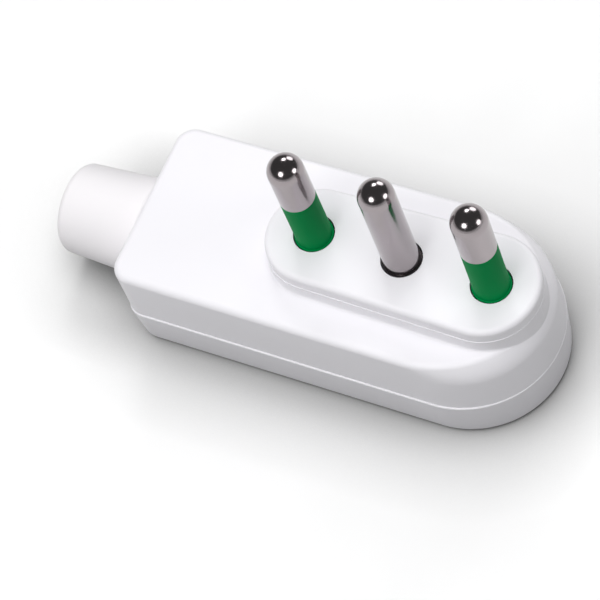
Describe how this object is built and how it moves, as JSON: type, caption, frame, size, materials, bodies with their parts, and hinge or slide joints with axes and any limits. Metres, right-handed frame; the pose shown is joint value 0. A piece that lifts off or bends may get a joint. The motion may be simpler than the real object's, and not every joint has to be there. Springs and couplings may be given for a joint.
{
  "type": "flat electric plug",
  "caption": "Flat rewirable earthed mains plug: round pins in line on a raised boss, white two-part housing, cord guard tube at the square end.",
  "frame": {"origin": "on the earth pin's axis, in the plane of the back face that the plug lies on", "axes": "+Z along the pins towards their tips, +X along the row of pins towards the round end"},
  "size_m": [0.0749, 0.0264, 0.041],
  "materials": {
    "white_housing": "smooth moulded, slight gloss",
    "white_guard": "smooth flexible plastic, satin",
    "green_sleeve": "smooth moulded, slight gloss",
    "plated_pin": "nickel plated, polished",
    "insulator": "plain moulded",
    "brass": "machined",
    "zinc_screw": "zinc plated"
  },
  "bodies": {
    "root": {"front_shell": "white_housing", "back_cover": "white_housing", "cord_guard": "white_guard", "pin_line": "plated_pin", "pin_earth": "plated_pin", "pin_neutral": "plated_pin", "sleeve_line": "green_sleeve", "sleeve_neutral": "green_sleeve", "pin_carrier": "insulator", "terminal_line": "brass", "terminal_earth": "brass", "terminal_neutral": "brass", "terminal_screw_line": "zinc_screw", "terminal_screw_earth": "zinc_screw", "terminal_screw_neutral": "zinc_screw", "cord_clamp": "insulator", "cord_clamp_screw_1": "zinc_screw", "cord_clamp_screw_2": "zinc_screw", "cover_screw_1": "zinc_screw", "cover_screw_2": "zinc_screw"}
  },
  "joints": []
}
